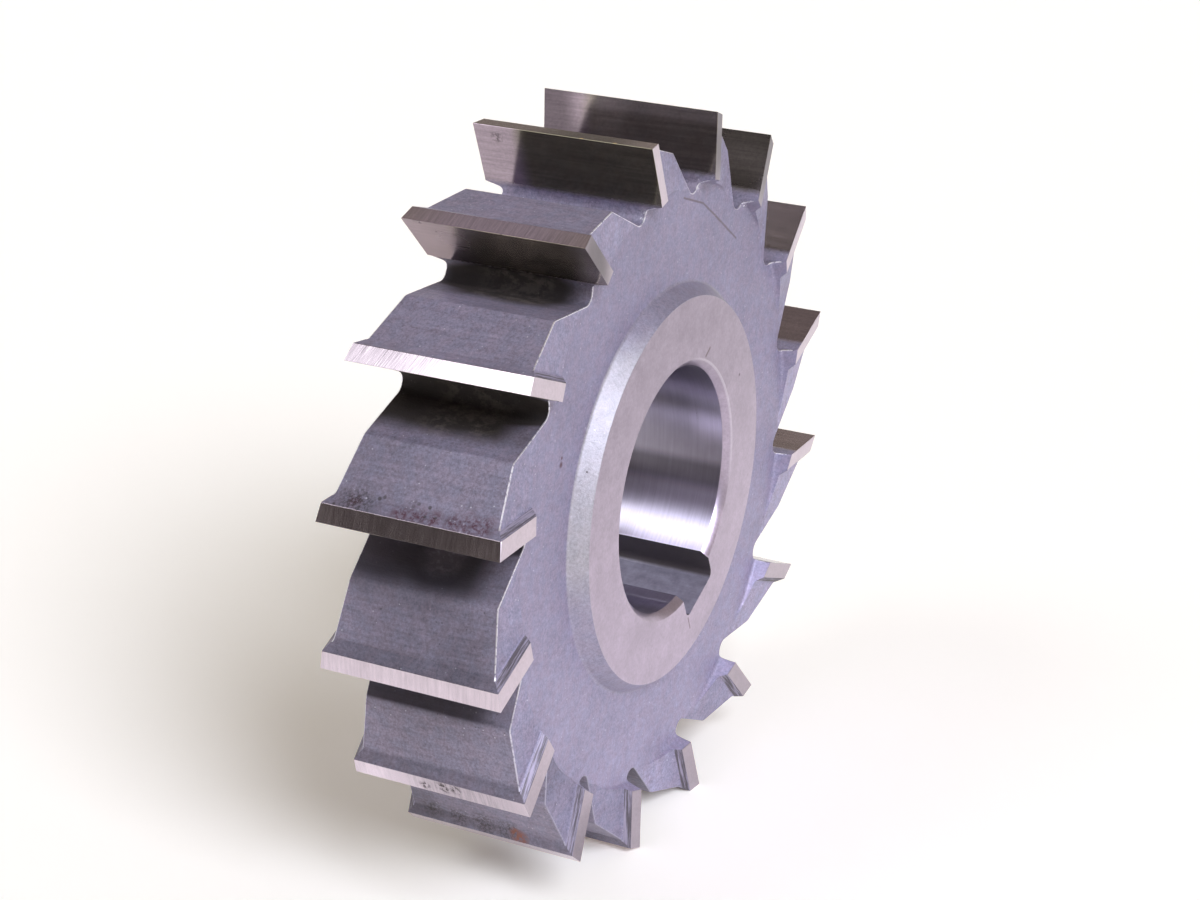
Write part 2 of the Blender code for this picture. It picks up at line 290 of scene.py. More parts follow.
class BenchSettings(bpy.types.PropertyGroup):
    """Bench, lamps and camera"""

    bench_colour: tint("Bench", "Colour of the bench top", (0.98, 0.962, 0.91))
    bench_reach: measure("Bench reach", "Radius of the flat part of the bench", 1.3, 0.2)
    bench_rise: measure("Bench rise", "Height of the bench's swept-up rim", 0.22)
    room_light: amount("Room light", "Even light of the room", 0.21)
    top_lamp: amount("Top lamp", "Strength of the soft lamp above", 0.25)
    front_lamp: amount("Front lamp", "Strength of the soft lamp in front", 3.12)
    back_lamp: amount("Back lamp", "Strength of the small lamp behind", 0.42)
    lens: amount("Lens", "Focal length in millimetres", 79.22, 10.0)
    camera_place: spot("Camera", "Place of the camera", (-0.221915, -0.110023, 0.105278))
    camera_aim: spot("Aim", "Point in the middle of the picture", (0.001151, -0.000207, 0.002232))
    camera_roll: slope("Roll", "Turn of the camera about its own axis", 0.602)


# Plane geometry

def turned(point, angle):
    """Turn a flat point about the origin."""
    return Matrix.Rotation(angle, 2) @ Vector(point)


def line_meeting(start_a, along_a, start_b, along_b):
    """Give the point where two straight lines in the plane meet."""
    reach = (start_b - start_a).cross(along_b) / along_a.cross(along_b)
    return start_a + reach * along_a


def rounded_corner(before, corner, after, radius, steps):
    """Give the points of an arc that rounds one corner of an outline."""
    back = (before - corner).normalized()
    ahead = (after - corner).normalized()
    half_angle = back.angle(ahead) / 2
    setback = radius / math.tan(half_angle)
    centre = corner + (back + ahead).normalized() * radius / math.sin(half_angle)
    first = corner + back * setback - centre
    sweep = first.angle_signed(corner + ahead * setback - centre)
    return [centre + turned(first, -sweep * step / steps) for step in range(steps + 1)]


class Outline:
    """Flat outline whose every side carries the surface that it will make."""

    def __init__(self):
        self.points = []
        self.surfaces = []

    def add(self, points, surface):
        """Add points; the side that starts at each of them has this surface."""
        self.points += [Vector(point) for point in points]
        self.surfaces += [surface] * len(points)


# Shape of the cutter

class CutterShape:
    """The cutter's forms, worked out from its sizes."""

    def __init__(self, sizes):
        self.sizes = sizes
        self.pitch = math.tau / sizes.tooth_count
        self.first_tip = -math.pi / 2 + self.pitch / 2
        self.tip_radius = sizes.tip_diameter / 2
        self.half_width = sizes.width / 2
        self.web_height = self.half_width - sizes.web_recess

    def face_profile(self):
        """Turned profile of one face as radius and height, from the bore outwards."""
        sizes = self.sizes
        bore = sizes.bore_diameter / 2
        rim = sizes.web_rim_diameter / 2
        hub_edge = Vector((sizes.hub_diameter / 2, self.half_width))
        bevel_foot = Vector((hub_edge.x + sizes.hub_bevel, self.web_height))
        rim_foot = Vector((rim, self.web_height))
        rim_edge = Vector((rim + sizes.web_rim_run, self.half_width))
        fillet = sizes.web_fillet
        profile = Outline()
        profile.add([(bore, self.half_width - sizes.bore_chamfer)], HUB_FACE)
        profile.add([(bore + sizes.bore_chamfer, self.half_width)], HUB_FACE)
        profile.add([hub_edge], WEB)
        profile.add(rounded_corner(hub_edge, bevel_foot, rim_foot, fillet, sizes.arc_steps), WEB)
        profile.add(rounded_corner(bevel_foot, rim_foot, rim_edge, fillet, sizes.arc_steps), WEB)
        profile.add([rim_edge, (self.tip_radius + CUTTER_ROOM, self.half_width)], SIDE_LAND)
        return profile

    def blank(self):
        """Turn the blank: hub, web and a plain rim a little larger than the teeth."""
        upper = self.face_profile()
        points = list(upper.points)
        surfaces = list(upper.surfaces)
        points += [Vector((point.x, -point.y)) for point in reversed(upper.points)]
        surfaces += list(reversed(upper.surfaces[:-1])) + [BORE]
        steps = self.sizes.turning_steps
        solid = bmesh.new()
        rings = []
        for step in range(steps):
            angle = math.tau * step / steps
            along = Vector((math.cos(angle), math.sin(angle), 0.0))
            rings.append([solid.verts.new(along * point.x + Vector((0.0, 0.0, point.y))) for point in points])
        for ring, following in zip(rings, rings[1:] + rings[:1]):
            for place, surface in enumerate(surfaces):
                after = (place + 1) % len(points)
                face = solid.faces.new((ring[place], following[place], following[after], ring[after]))
                face.material_index = surface
        return solid

    def tooth_outline(self):
        """One tooth's outline in the plane, from its tip on the +X axis back to the next gullet."""
        sizes = self.sizes
        tip = Vector((self.tip_radius, 0.0))

        def behind(angle):
            """Direction that runs back from the tip and falls by an angle."""
            return Vector((-math.sin(angle), -math.cos(angle)))

        land_end = tip + behind(sizes.land_relief) * sizes.land_width
        shoulder = behind(sizes.shoulder_angle) * sizes.shoulder_drop / math.sin(sizes.shoulder_angle)
        shoulder_foot = land_end + shoulder
        back_end = shoulder_foot + behind(sizes.back_angle) * sizes.back_length
        next_tip = turned(tip, -self.pitch)
        next_face = turned((1.0, 0.0), sizes.rake - self.pitch)
        gullet = line_meeting(back_end, behind(sizes.second_back_angle), next_tip, next_face)
        steps = sizes.arc_steps
        outline = Outline()
        outline.add([tip], LAND)
        outline.add([land_end], BACK)
        outline.add(rounded_corner(land_end, shoulder_foot, back_end, sizes.shoulder_fillet, steps), BACK)
        outline.add(rounded_corner(shoulder_foot, back_end, gullet, sizes.back_break_radius, steps), BACK)
        outline.add(rounded_corner(back_end, gullet, next_tip, sizes.gullet_radius, 2 * steps), BACK)
        outline.surfaces[-1] = RAKE
        return outline

    def tooth_form(self):
        """All the teeth as one prism."""
        one = self.tooth_outline()
        rim = Outline()
        for tooth in range(self.sizes.tooth_count):
            turn = self.first_tip - tooth * self.pitch
            rim.points += [turned(point, turn) for point in one.points]
            rim.surfaces += one.surfaces
        return prism(rim, self.sizes.width + CUTTER_ROOM)

    def gullet_distance(self):
        """How far the gullet's lowest point lies behind the tooth's own cutting face."""
        square = Vector((math.sin(self.sizes.rake), -math.cos(self.sizes.rake)))
        lowest = min(self.tooth_outline().points, key=lambda point: point.length)
        return (lowest - Vector((self.tip_radius, 0.0))).dot(square)

    def side_flank(self, side):
        """What is ground away behind a side edge: distance behind the cutting face, and height."""
        sizes = self.sizes
        relief = math.tan(sizes.side_land_relief)
        over = self.half_width + CUTTER_ROOM
        land_end = Vector((sizes.side_land_width, self.half_width - sizes.side_land_width * relief))
        foot = land_end + Vector((sizes.side_shoulder_run, -sizes.side_shoulder_drop))
        flank_end = Vector((sizes.side_flank_end, self.web_height))
        lead = Vector((-SIDE_CUT_LEAD, self.half_width + SIDE_CUT_LEAD * relief))
        last = self.gullet_distance()
        outline = Outline()
        outline.add([(lead.x, over)], SIDE_LAND)
        outline.add([lead], SIDE_LAND)
        outline.add([land_end], SIDE_SHOULDER)
        outline.add(rounded_corner(land_end, foot, flank_end, sizes.shoulder_fillet, sizes.arc_steps), FLANK)
        outline.add([flank_end, (last, self.web_height), (last, over)], FLANK)
        outline.points = [Vector((point.x, point.y * side)) for point in outline.points]
        return outline

    def side_flanks(self):
        """The bodies that back off every side tooth on both faces."""
        rake = self.sizes.rake
        face_foot = self.tip_radius * math.sin(rake) + self.gullet_distance()
        rim = self.sizes.web_rim_diameter / 2
        reach = self.tip_radius * math.cos(rake) - math.sqrt(rim ** 2 - face_foot ** 2)
        length = reach + CUTTER_ROOM
        across = Vector((math.sin(rake), -math.cos(rake), 0.0))
        upwards = Vector((0.0, 0.0, 1.0))
        inwards = across.cross(upwards)
        placing = Matrix((across, upwards, inwards)).transposed().to_4x4()
        placing.translation = Vector((self.tip_radius, 0.0, 0.0)) + inwards * (length / 2 - CUTTER_ROOM)
        bodies = bmesh.new()
        for side in (1, -1):
            body = prism(self.side_flank(side), length)
            for tooth in range(self.sizes.tooth_count):
                turn = Matrix.Rotation(self.first_tip - tooth * self.pitch, 4, "Z")
                add_copy(bodies, body, turn @ placing)
            body.free()
        return bodies

    def keyway(self):
        """The body that broaches the keyway, open towards the bore."""
        sizes = self.sizes
        half = sizes.keyway_width / 2
        floor = sizes.bore_diameter / 2 + sizes.keyway_depth
        start = sizes.bore_diameter / 4
        near = [Vector((start, -half)), Vector((start, half))]
        far = [Vector((floor, half)), Vector((floor, -half))]
        outline = Outline()
        outline.add(near, KEYWAY)
        outline.add(rounded_corner(near[1], far[0], far[1], sizes.keyway_corner, sizes.arc_steps), KEYWAY)
        outline.add(rounded_corner(far[0], far[1], near[0], sizes.keyway_corner, sizes.arc_steps), KEYWAY)
        outline.points = [turned(point, sizes.keyway_direction) for point in outline.points]
        return prism(outline, sizes.width + CUTTER_ROOM)


# Meshes, cuts and edges

def prism(outline, thickness):
    """Extrude an outline to both sides of its plane."""
    solid = bmesh.new()
    rows = []
    for height in (-thickness / 2, thickness / 2):
        rows.append([solid.verts.new((point.x, point.y, height)) for point in outline.points])
    low, high = rows
    solid.faces.new(low)
    solid.faces.new(high)
    for place, surface in enumerate(outline.surfaces):
        after = (place + 1) % len(low)
        face = solid.faces.new((low[place], low[after], high[after], high[place]))
        face.material_index = surface
    bmesh.ops.recalc_face_normals(solid, faces=solid.faces)
    return solid


def add_copy(target, source, placing):
    """Add a placed copy of one mesh to another."""
    copies = {vert: target.verts.new(placing @ vert.co) for vert in source.verts}
    for face in source.faces:
        copy = target.faces.new([copies[vert] for vert in face.verts])
        copy.material_index = face.material_index


def temporary_object(name, solid, finishes):
    """Put a mesh in the scene for the time of the cuts."""
    bmesh.ops.recalc_face_normals(solid, faces=solid.faces)
    mesh = bpy.data.meshes.new(name)
    solid.to_mesh(mesh)
    solid.free()
    for finish in finishes:
        mesh.materials.append(finish)
    item = bpy.data.objects.new(name, mesh)
    bpy.context.scene.collection.objects.link(item)
    return item


def applied(item):
    """Give an object's mesh with its modifiers applied."""
    return bpy.data.meshes.new_from_object(item.evaluated_get(bpy.context.evaluated_depsgraph_get()))


def cut_cutter(sizes, finishes):
    """Cut the cutter from its blank and give the raw mesh."""
    shape = CutterShape(sizes)
    blank = temporary_object("blank", shape.blank(), finishes)
    cuts = (
        ("tooth_form", shape.tooth_form(), "INTERSECT"),
        ("side_flanks", shape.side_flanks(), "DIFFERENCE"),
        ("keyway", shape.keyway(), "DIFFERENCE"),
    )
    bodies = []
    for name, solid, operation in cuts:
        body = temporary_object(name, solid, finishes)
        bodies.append(body)
        modifier = blank.modifiers.new(name, "BOOLEAN")
        modifier.operation = operation
        modifier.solver = "EXACT"
        modifier.use_self = True
        modifier.object = body
    mesh = applied(blank)
    for item in [blank] + bodies:
        old = item.data
        bpy.data.objects.remove(item, do_unlink=True)
        bpy.data.meshes.remove(old)
    return mesh


def bevel(solid, edges, size, segments, surface):
    """Break edges of a mesh. A surface of -1 leaves the break to the surfaces beside it."""
    bmesh.ops.bevel(
        solid, geom=edges, offset=size, segments=segments, profile=0.5, affect="EDGES",
        material=surface, clamp_overlap=False)


def break_edges(mesh, sizes):
    """Weld the cut mesh, stand it up and break its sharp edges."""
    solid = bmesh.new()
    solid.from_mesh(mesh)
    bmesh.ops.remove_doubles(solid, verts=solid.verts, dist=WELD_DISTANCE)
    bmesh.ops.dissolve_degenerate(solid, edges=solid.edges, dist=WELD_DISTANCE / 2)
    solid.transform(Matrix.Rotation(math.pi / 2, 4, "X"))
    bmesh.ops.recalc_face_normals(solid, faces=solid.faces)

    def sharp(edge):
        """Whether the edge is a real edge of the cutter."""
        return edge.is_manifold and abs(edge.calc_face_angle_signed()) > SHARP_ANGLE

    def rubbed(edge):
        """Whether the edge is one that rubs bright: the back against a flank, or the web's rim."""
        kinds = {face.material_index for face in edge.link_faces}
        return edge.calc_face_angle_signed() > 0 and kinds in ({BACK, FLANK}, {BACK, WEB})

    worn = [edge for edge in solid.edges if sharp(edge) and rubbed(edge)]
    bevel(solid, worn, sizes.worn_edge_break, 2, WORN_EDGE)
    plain = [
        edge for edge in solid.edges
        if sharp(edge) and all(face.material_index != WORN_EDGE for face in edge.link_faces)]
    bevel(solid, plain, sizes.edge_break, 1, -1)
    # Where two breaks meet they can leave a corner folded flat, which is dissolved
    folded = [
        vert for vert in solid.verts
        if len(vert.link_edges) == 2
        and solid.edges.get([edge.other_vert(vert) for edge in vert.link_edges])]
    bmesh.ops.dissolve_verts(solid, verts=folded)
    solid.to_mesh(mesh)
    solid.free()
    mesh.shade_smooth()
    mesh.set_sharp_from_angle(angle=SHARP_ANGLE)


def with_even_shading(mesh):
    """Keep flats flat where they run into rounded corners."""
    item = bpy.data.objects.new("shading", mesh)
    bpy.context.scene.collection.objects.link(item)
    modifier = item.modifiers.new("weights", "WEIGHTED_NORMAL")
    modifier.mode = "FACE_AREA"
    modifier.keep_sharp = True
    shaded = applied(item)
    bpy.data.objects.remove(item, do_unlink=True)
    bpy.data.meshes.remove(mesh)
    return shaded


def draw_reflections_along_axis(mesh):
    """Stretch the texture space so that stretched reflections run along the cutter's axis."""
    mesh.use_auto_texspace = False
    mesh.texspace_location = (0.0, 0.0, 0.0)
    mesh.texspace_size = TEXTURE_SPACE


# Shader building

class Value:
    """One socket of a node graph, on which sums and products add Math nodes."""

    def __init__(self, graph, socket):
        self.graph = graph
        self.socket = socket

    def maths(self, operation, *others, clamp=False):
        """Add one Math node that starts with this value."""
        settings = {"operation": operation, "use_clamp": clamp}
        return self.graph.node("ShaderNodeMath", settings, dict(enumerate((self,) + others)))

    def __add__(self, other):
        return self.maths("ADD", other)

    __radd__ = __add__

    def __sub__(self, other):
        return self.maths("SUBTRACT", other)

    def __rsub__(self, other):
        return self.graph.node("ShaderNodeMath", {"operation": "SUBTRACT"}, {0: other, 1: self})

    def __mul__(self, other):
        return self.maths("MULTIPLY", other)

    __rmul__ = __mul__

    def __truediv__(self, other):
        return self.maths("DIVIDE", other)

    def fade(self, start, end):
        """Rise smoothly from 0 at start to 1 at end, also with end below start."""
        settings = {"interpolation_type": "SMOOTHSTEP"}
        low, high = (start, end) if start < end else (end, start)
        risen = self.graph.node(
            "ShaderNodeMapRange", settings, {"Value": self, "From Min": low, "From Max": high})
        return risen if start < end else 1.0 - risen


def strongest(values):
    """Greatest of several values at each point."""
    most = values[0]
    for value in values[1:]:
        most = most.maths("MAXIMUM", value)
    return most


class NodeGraph:
    """The nodes of one material or of the room."""

    def __init__(self, tree):
        self.tree = tree

    def node(self, kind, settings, values, output=0):
        """Add a node: its settings first, then its sockets' values or links. Gives one output."""
        made = self.tree.nodes.new(kind)
        for name, setting in settings.items():
            setattr(made, name, setting)
        for name, value in values.items():
            self.feed(made.inputs[name], value)
        return Value(self, made.outputs[output])

    def feed(self, socket, value):
        """Set a socket, or link a value to it."""
        if isinstance(value, Value):
            self.tree.links.new(value.socket, socket)
        elif socket.type == "RGBA" and len(value) == 3:
            socket.default_value = (*value, 1.0)
        else:
            socket.default_value = value

    def vector_maths(self, operation, values, output=0):
        """Add one Vector Math node."""
        return self.node("ShaderNodeVectorMath", {"operation": operation}, values, output)


class Finish(NodeGraph):
    """One material under construction, with its object coordinates in millimetres."""

    def __init__(self, name):
        self.material = bpy.data.materials.new(name)
        self.material.use_nodes = True
        super().__init__(self.material.node_tree)
        self.shader = self.tree.nodes["Principled BSDF"]
        place = self.node("ShaderNodeTexCoord", {}, {}, "Object")
        self.point = self.vector_maths("SCALE", {0: place, "Scale": MILLIMETRES})
        self.x, self.y, self.z = (
            self.node("ShaderNodeSeparateXYZ", {}, {0: self.point}, axis) for axis in "XYZ")

    def radius(self):
        """Distance from the cutter's axis."""
        return (self.x * self.x + self.z * self.z).maths("SQRT")

    def direction(self):
        """Direction around the cutter's axis in degrees."""
        return self.z.maths("ARCTAN2", self.x) * math.degrees(1.0)

    def vector(self, x, y, z):
        """Join three values to a vector."""
        return self.node("ShaderNodeCombineXYZ", {}, {"X": x, "Y": y, "Z": z})

    def stretched(self, vector, x, y, z):
        """Scale a point or a colour by a different number along each axis."""
        return self.vector_maths("MULTIPLY", {0: vector, 1: (x, y, z)})

    def toned(self, colour, tone):
        """Make a colour lighter or darker by a value."""
        return self.vector_maths("SCALE", {0: colour, "Scale": tone})

    def mixed(self, mask, plain, other):
        """Mix two colours by a mask."""
        return self.node("ShaderNodeMix", {"data_type": "RGBA"}, {0: mask, 6: plain, 7: other}, 2)

    def noise(self, point, scale, detail=2.0, rough=0.5):
        """Smooth noise between 0 and 1 with so many waves to the millimetre."""
        values = {"Vector": point, "Scale": scale, "Detail": detail, "Roughness": rough}
        return self.node("ShaderNodeTexNoise", {}, values)

    def grains(self, scale, share, size):
        """Small round grains, kept in only a share of the cells of a grid."""
        settings = {"feature": "F1"}
        values = {"Vector": self.point, "Scale": scale}
        distance = self.node("ShaderNodeTexVoronoi", settings, values, "Distance")
        chance = self.node("ShaderNodeTexVoronoi", settings, values, "Color")
        picked = self.node("ShaderNodeSeparateColor", {}, {0: chance}, "Red")
        return distance.fade(size, size * 0.5) * picked.fade(1.0 - share, 1.0 - share * 0.9)

    def near(self, x, y, z, reach):
        """Be 1 at a place and fall to 0 at a reach from it."""
        gap = self.vector_maths("DISTANCE", {0: self.point, 1: (x, y, z)}, "Value")
        return gap.fade(reach, reach * 0.2)

    def summed(self, places):
        """Sum of the shares of several places, each falling to 0 at its reach."""
        return sum(self.near(*place) * share for *place, share in places)

    def spotted(self, plain, places, colour, strength):
        """Mix a colour into small spots."""
        for place in places:
            plain = self.mixed(self.near(*place) * strength, plain, colour)
        return plain

    def patches(self, places, blotch, start, end):
        """Blotches that lie only near some places."""
        return blotch.fade(start, end) * strongest([self.near(*place) for place in places])

    def gullet_edge_glints(self):
        """Painted glints: white flecks along the upper gullet edges."""
        flakes = self.noise(self.point, 2.2, 4.0, 0.8)
        return self.patches(GLINTS_ON_GULLET_EDGES, flakes, 0.55, 0.66)

    def streaks(self, corners, width):
        """Thin line through several points."""
        parts = []
        for start, end in zip(corners, corners[1:]):
            run = Vector(end) - Vector(start)
            offset = self.vector_maths("SUBTRACT", {0: self.point, 1: start})
            share = self.vector_maths("DOT_PRODUCT", {0: offset, 1: run / run.length_squared}, "Value")
            nearest = self.vector_maths("SCALE", {0: run, "Scale": share.maths("ADD", 0.0, clamp=True)})
            gap = self.vector_maths("DISTANCE", {0: offset, 1: nearest}, "Value")
            parts.append(gap.fade(width, width * 0.3))
        return strongest(parts)

    def bumped(self, height, distance):
        """Turn a height into a bump of so many millimetres."""
        values = {"Height": height, "Distance": distance / MILLIMETRES, "Strength": 1.0}
        return self.node("ShaderNodeBump", {}, values)

    def surface(self, colour, roughness, metallic, normal=None):
        """Join colour, roughness and normal to the shader."""
        self.feed(self.shader.inputs["Base Color"], colour)
        self.feed(self.shader.inputs["Roughness"], roughness)
        self.feed(self.shader.inputs["Metallic"], metallic)
        if normal is not None:
            self.feed(self.shader.inputs["Normal"], normal)
        return self.material


# Finishes of the cutter

def blasted_skin(finish, colour, colours, bite=1.0):
    """Even bite of blasting, with clouds, grain, painted sparkle glints and pores. Gives colour, roughness
    and height.
    """
    point = finish.point
    cloud = finish.noise(point, 0.12, 3.0)
    mottle = finish.noise(point, 0.9, 3.0, 0.6)
    grain = finish.noise(point, 3.4, 3.0, 0.85)
    painted_sparkle = finish.grains(2.6, 0.05, 0.24)
    pore = finish.grains(1.7, 0.06, 0.18)
    tone = 1.0 + (cloud - 0.5) * 0.35 + ((mottle - 0.5) * 0.5 + (grain - 0.5) * 1.6) * bite
    plain = finish.toned(colour, tone)
    hue = finish.noise(point, 0.8, 2.0).fade(0.35, 0.65)
    warm = finish.stretched(plain, 1.025, 0.99, 0.98)
    cool = finish.stretched(plain, 0.975, 1.005, 1.02)
    tinted = finish.mixed(hue, warm, cool)
    tinted = finish.mixed(pore * 0.5 * bite, tinted, colours.soil_and_shade)
    # Painted glints: small white sparkles in the base colour
    tinted = finish.mixed(painted_sparkle * 0.5 * bite, tinted, PAINTED_SPARKLE)
    rough = 0.5 + (grain - 0.5) * 0.3 - painted_sparkle * 0.2
    return tinted, rough, grain + mottle * 0.4


def ground_skin(finish, colour, stretch, contrast):
    """Ground steel with faint stains, and fine lines along the axis that is stretched least."""
    lines = finish.noise(finish.stretched(finish.point, *stretch), 1.0, 4.0, 0.7)
    stain = finish.noise(finish.point, 0.35, 3.0, 0.6)
    tone = 1.0 + (lines - 0.5) * contrast * 2.0 + (stain - 0.5) * 0.25
    return finish.toned(colour, tone), lines


def web_finish(colours):
    """Blasted web, hub bevel and rim step, with a brown scratch, a rust spot, painted glints along the gullet
    edges, painted shade towards the top and a painted highlight on the bevel.
    """
    finish = Finish("blasted_web")
    colour, rough, height = blasted_skin(finish, colours.web, colours, 0.75)
    # Painted shade: the web is darker towards the top and lighter towards the bench
    colour = finish.toned(colour, 1.0 - finish.z * 0.004)
    bevel = finish.radius().fade(BEVEL_FOOT + 0.35, BEVEL_FOOT)
    # The band of the bevel that gets a painted highlight, where it faces the lamps
    painted_lit_band = finish.z.fade(-7.0, 1.0) * finish.z.fade(20.0, 17.0)
    bright = finish.toned(finish.mixed(painted_lit_band, BEVEL_PAINTED_SHADE, BEVEL_PAINTED_HIGHLIGHT), 0.3 + height)
    # Painted highlight and painted shade mixed into the bevel's colour
    colour = finish.mixed(bevel * (0.3 + painted_lit_band * 0.22), colour, bright)
    scratch = finish.streaks(WEB_SCRATCH, 0.16)
    colour = finish.mixed(scratch * 0.6, colour, colours.scratch)
    colour = finish.spotted(colour, RUST_SPOTS_ON_WEB, colours.rust, 0.85)
    colour = finish.spotted(colour, DARK_SPOTS_ON_WEB, colours.soil_and_shade, 0.8)
    colour = finish.spotted(colour, BRIGHT_SPECKS_ON_WEB, BRIGHT_SPECK, 0.9)
    # Painted glints along the gullet edges
    colour = finish.mixed(finish.gullet_edge_glints(), colour, GLINT_WHITE)
    rough = rough - bevel * 0.06 + bevel * painted_lit_band * 0.1
    metallic = BLASTED_METALLIC + bevel * 0.25
    return finish.surface(colour, rough, metallic, finish.bumped(height - scratch * 0.8, BLASTED_BUMP))


def flank_finish(colours):
    """Blasted side flanks, with painted light: lighter at the right, darker low on the left, and painted
    sheen and shade in patches.
    """
    finish = Finish("blasted_flank")
    colour, rough, height = blasted_skin(finish, colours.flank, colours)
    # Painted light: lighter at the right where the lamps fall, darker low on the left
    right = finish.x.fade(12.0, 28.0) * finish.z.fade(14.0, -4.0)
    low = finish.x.fade(0.0, -10.0) * finish.z.fade(-14.0, -22.0)
    tone = 1.0 + right * 0.3 - low * 0.12 + finish.summed(PAINTED_SHEEN_AND_SHADE_ON_FLANKS)
    colour = finish.toned(colour, tone)
    return finish.surface(colour, rough, BLASTED_METALLIC, finish.bumped(height, BLASTED_BUMP))


def painted_gullet_shade(finish):
    """How far the painted shade covers the gullets, but not their ends or the right and lowest gullets."""
    x, y, z, radius = finish.x, finish.y, finish.z, finish.radius()
    left = x.fade(-8.0, -15.0)
    above_lowest = z.fade(-24.0, -16.0)
    high = z.fade(20.0, 24.0)
    deep = radius.fade(31.2, 30.2) * (4.2 - high * 3.2)
    near_end = (y + deep).fade(-3.6, -6.3) * 0.7
    far_end = (y - deep * 3.0).fade(3.5, 6.5) * z.fade(18.0, 24.0) * 0.6
    wander = finish.noise(finish.point, 0.25, 2.0)
    spread = 0.2 + z.fade(-12.0, 2.0) * 0.7
    middle = (34.52 - z * 0.1).maths("MINIMUM", 34.6)
    depth = ((radius + (wander - 0.5) * spread - middle) / spread).fade(1.0, -1.0)
    return depth * (1.0 - (near_end + far_end)) * left * above_lowest


def painted_gullet_shade_colour(finish, colours):
    """Colour of the painted shade in the gullets, with paler flakes in the middle of the upper ones."""
    y, z, radius = finish.y, finish.z, finish.radius()
    lower = z.fade(8.0, 4.0)
    pale = finish.near(*LIGHTER_GULLET_SHADE)
    blue = finish.stretched(colours.gullet, 1.25, 1.3, 1.85)
    wall = radius.fade(29.9, 30.4)
    far_foot = y.fade(2.0, 6.5) * radius.fade(34.0, 32.5)
    dark = finish.near(*DARKER_GULLET_SHADE)
    tone = 1.0 + wall * 0.4 + lower * (far_foot + pale * 1.5) - dark * 0.55
    plain = finish.toned(finish.mixed(lower, colours.gullet, blue), tone)
    flakes = finish.noise(finish.stretched(finish.point, 1.0, 0.7, 1.0), 0.9, 4.0, 0.75).fade(0.44, 0.62)
    middle = y.fade(-5.2, -2.6) * y.fade(5.0, 1.5)
    upper = z.fade(5.0, 9.0)
    return finish.mixed(flakes * (middle * upper + pale * 0.7), plain, finish.toned(plain, 2.1))


def back_finish(colours):
    """Blasted backs of the teeth: milling lines along the tooth, painted shade in the gullets, below the top
    and in patches, and a little rust.
    """
    finish = Finish("blasted_back")
    colour, rough, height = blasted_skin(finish, colours.back, colours)
    lines = finish.noise(finish.stretched(finish.point, 2.4, 0.12, 2.4), 1.0, 3.0, 0.7)
    # Painted shade: the backs are darker below the top and in a few patches
    below_top = finish.z.fade(29.0, 23.0)
    tone = 0.75 + lines * 0.5 - below_top * 0.11 + finish.summed(PAINTED_SHADE_ON_BACKS)
    colour = finish.toned(colour, tone)
    low_shoulders = finish.radius().fade(36.6, 36.9) * finish.z.fade(12.0, 0.0)
    colour = finish.toned(colour, 1.0 - low_shoulders * 0.3)
    # Painted shade over the gullets of the left teeth
    painted_shade = painted_gullet_shade(finish)
    low = finish.z.fade(-2.0, -9.0)
    colour = finish.mixed(painted_shade * (0.93 - low * 0.2), colour, painted_gullet_shade_colour(finish, colours))
    blotch = finish.noise(finish.point, 1.7, 4.0, 0.7)
    specks = finish.noise(finish.point, 3.2, 5.0, 0.85)
    rust = finish.patches(RUST_ON_BACKS, blotch * 0.4 + specks * 0.6, 0.44, 0.57)
    soot = finish.patches(SOOT_ON_BACKS, specks, 0.45, 0.56)
    fresh = finish.patches(FRESH_RUST, blotch, 0.38, 0.50)
    pits = finish.grains(1.4, 0.45, 0.34) * finish.patches(PITS_ON_BACKS, blotch, 0.3, 0.45)
    colour = finish.mixed(rust * 0.85, colour, colours.rust)
    colour = finish.mixed(soot * 0.8, colour, colours.soil_and_shade)
    colour = finish.mixed(fresh * 0.85, colour, colours.fresh_rust)
    colour = finish.mixed(pits * 0.8, colour, colours.soil_and_shade)
    # Painted glints along the gullet edges
    colour = finish.mixed(finish.gullet_edge_glints(), colour, GLINT_WHITE)
    rough = rough + rust * 0.2 + painted_shade * 0.3
    metallic = BLASTED_METALLIC + painted_shade * 0.5
    return finish.surface(colour, rough, metallic, finish.bumped(height + lines * 0.5 - pits, BLASTED_BUMP))


